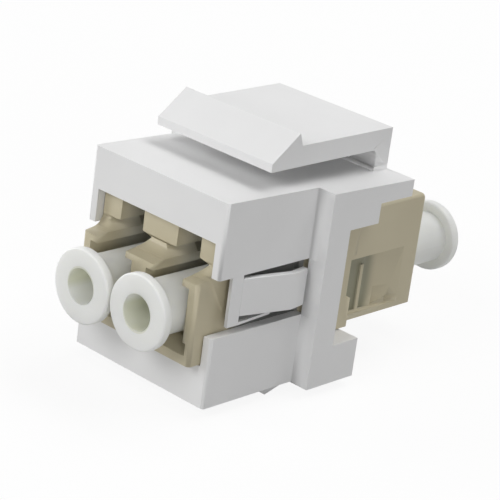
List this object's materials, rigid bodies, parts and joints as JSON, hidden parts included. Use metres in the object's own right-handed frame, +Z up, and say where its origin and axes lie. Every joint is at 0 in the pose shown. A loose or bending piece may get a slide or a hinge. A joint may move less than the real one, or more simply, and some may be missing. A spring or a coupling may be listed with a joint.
{
  "type": "keystone_lc_fibre_adapter",
  "caption": "White snap-in keystone housing holding a beige LC duplex fibre adapter, with round dust caps in its ports",
  "frame": {"origin": "Halfway between the two channels, at the optical plane where the ferrules meet, at the height of the catch tooth's crest, which is the lowest point", "axes": "+X is the right side seen from the front, +Y runs to the rear through the panel, +Z is up towards the flexing latch"},
  "size_m": [0.0178, 0.0346, 0.0214],
  "materials": {
    "white_housing": "moulded white plastic, satin",
    "beige_adapter": "moulded beige plastic, satin",
    "cap_plastic": "soft milky plastic",
    "white_holder": "moulded white plastic",
    "bronze_sleeve": "bright phosphor bronze"
  },
  "bodies": {
    "root": {"keystone_housing": "white_housing", "adapter_front_shell": "beige_adapter", "adapter_rear_shell": "beige_adapter", "sleeve_holder_front_left": "white_holder", "sleeve_holder_front_right": "white_holder", "sleeve_holder_rear_left": "white_holder", "sleeve_holder_rear_right": "white_holder", "split_sleeve_left": "bronze_sleeve", "split_sleeve_right": "bronze_sleeve"},
    "latch": {"panel_latch": "white_housing"},
    "left_spring": {"left_side_spring": "white_housing"},
    "right_spring": {"right_side_spring": "white_housing"},
    "dust_cap_front_left_body": {"dust_cap_front_left": "cap_plastic"},
    "dust_cap_front_right_body": {"dust_cap_front_right": "cap_plastic"},
    "dust_cap_rear_left_body": {"dust_cap_rear_left": "cap_plastic"},
    "dust_cap_rear_right_body": {"dust_cap_rear_right": "cap_plastic"}
  },
  "joints": [
    {"name": "latch_flex", "type": "hinge", "parent": "root", "child": "latch", "pos_m": [0, 0.00415, 0.01729], "axis": [1, 0, 0], "range_deg": [0, 6.3], "stiffness_Nm_per_rad": 0.5},
    {"name": "right_spring_flex", "type": "hinge", "parent": "root", "child": "right_spring", "pos_m": [0.0067, -0.01065, 0.00949], "axis": [0, 0, 1], "range_deg": [0, 5], "stiffness_Nm_per_rad": 0.1},
    {"name": "left_spring_flex", "type": "hinge", "parent": "root", "child": "left_spring", "pos_m": [-0.0067, -0.01065, 0.00949], "axis": [0, 0, -1], "range_deg": [0, 5], "stiffness_Nm_per_rad": 0.1},
    {"name": "cap_front_left_pull", "type": "slide", "parent": "root", "child": "dust_cap_front_left_body", "axis": [0, -1, 0], "range_m": [0, 0.0135]},
    {"name": "cap_front_right_pull", "type": "slide", "parent": "root", "child": "dust_cap_front_right_body", "axis": [0, -1, 0], "range_m": [0, 0.0135]},
    {"name": "cap_rear_left_pull", "type": "slide", "parent": "root", "child": "dust_cap_rear_left_body", "axis": [0, 1, 0], "range_m": [0, 0.0104]},
    {"name": "cap_rear_right_pull", "type": "slide", "parent": "root", "child": "dust_cap_rear_right_body", "axis": [0, 1, 0], "range_m": [0, 0.0104]}
  ]
}
